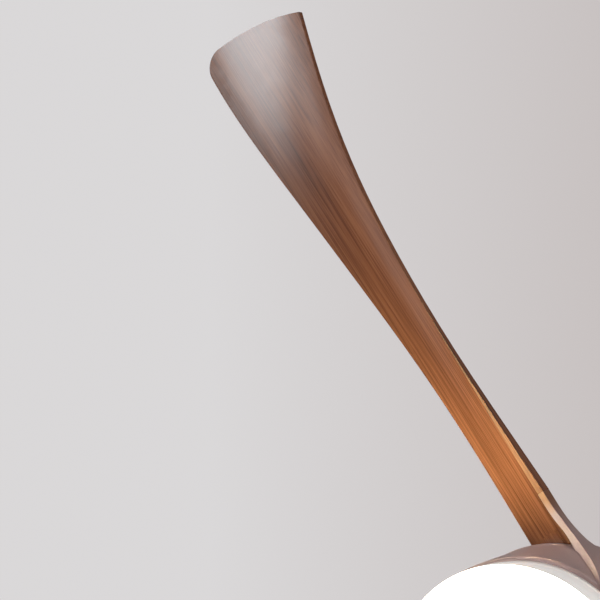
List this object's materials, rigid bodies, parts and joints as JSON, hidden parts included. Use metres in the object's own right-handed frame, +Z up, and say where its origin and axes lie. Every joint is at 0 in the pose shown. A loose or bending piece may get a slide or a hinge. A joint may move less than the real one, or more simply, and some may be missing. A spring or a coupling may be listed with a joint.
{
  "type": "ceiling fan",
  "caption": "Hanging ceiling fan with twisted flared blades, a swirl-ridged round hub, a short downrod, a ceiling canopy and a lit opal glass bowl.",
  "frame": {"origin": "centre of the bracket's slotted holes, on the ceiling plane", "axes": "+Z up into the ceiling along the spin axis, +X along the bracket's slots and out along the first blade"},
  "size_m": [1.3922, 1.418, 0.4432],
  "materials": {
    "steel": "satin zinc plate",
    "bronze_paint": "satin brown metallic paint",
    "hub_paint": "satin brown metallic paint on a moulded hub",
    "walnut": "satin lacquer, grain along the blade",
    "opal_glass": "opal, lit from inside",
    "aluminium": "as cast",
    "iron": "lacquered laminations and magnets",
    "copper": "enamelled copper wire",
    "black_plastic": "fine texture",
    "white_board": "white solder mask",
    "lamp": "lit lamp chips",
    "rubber": "soft pad"
  },
  "bodies": {
    "ceiling_mount": {"hanger_bracket": "steel", "canopy": "bronze_paint", "canopy_screws": "steel", "remote_receiver": "black_plastic"},
    "drop": {"hanger_ball": "black_plastic", "ball_cross_pin": "steel", "ball_set_screw": "steel", "downrod": "bronze_paint", "yoke": "steel", "yoke_clevis_pin": "steel", "cotter_clip": "steel", "yoke_set_screws": "steel", "yoke_cover": "bronze_paint", "motor_shaft": "steel", "stator_core": "iron", "stator_windings": "copper", "bearing_inner_lower": "steel", "bearing_inner_upper": "steel", "light_pan": "aluminium", "shaft_nuts": "steel", "led_board": "white_board", "led_chips": "lamp", "led_screws": "steel", "led_driver": "black_plastic", "driver_screws": "steel"},
    "rotor": {"motor_shell_lower": "aluminium", "motor_shell_upper": "aluminium", "motor_screws": "steel", "rotor_magnets": "iron", "bearing_outer_lower": "steel", "bearing_outer_upper": "steel", "blade_carrier": "aluminium", "carrier_screws": "steel", "cup_screws": "steel", "hub_cup": "hub_paint", "hub_top_cover": "hub_paint", "cover_screws": "steel", "blade_gaskets": "rubber", "blade_screws": "steel", "blade_1": "walnut", "blade_2": "walnut", "blade_3": "walnut", "blade_4": "walnut", "blade_5": "walnut"},
    "bearing_cage_lower": {"bearing_cage_lower": "steel"},
    "bearing_cage_upper": {"bearing_cage_upper": "steel"},
    "glass": {"glass_ring": "aluminium", "glass_bowl": "opal_glass"}
  },
  "joints": [
    {"name": "hanger_swing", "type": "hinge", "parent": "ceiling_mount", "child": "drop", "pos_m": [0, 0, -0.05], "axis": [0, 1, 0], "range_deg": [-12, 12]},
    {"name": "rotor_spin", "type": "hinge", "parent": "drop", "child": "rotor", "pos_m": [0, 0, -0.2789], "axis": [0, 0, 1], "continuous": true},
    {"name": "lower_cage_spin", "type": "hinge", "parent": "drop", "child": "bearing_cage_lower", "pos_m": [0, 0, -0.2912], "axis": [0, 0, 1], "continuous": true},
    {"name": "upper_cage_spin", "type": "hinge", "parent": "drop", "child": "bearing_cage_upper", "pos_m": [0, 0, -0.2667], "axis": [0, 0, 1], "continuous": true},
    {"name": "glass_twist", "type": "hinge", "parent": "drop", "child": "glass", "pos_m": [0, 0, -0.3342], "axis": [0, 0, 1], "range_deg": [0, 20]}
  ],
  "couplings": [
    {"joint": "lower_cage_spin", "follows": "rotor_spin", "ratio": 0.5787},
    {"joint": "upper_cage_spin", "follows": "rotor_spin", "ratio": 0.5787}
  ]
}
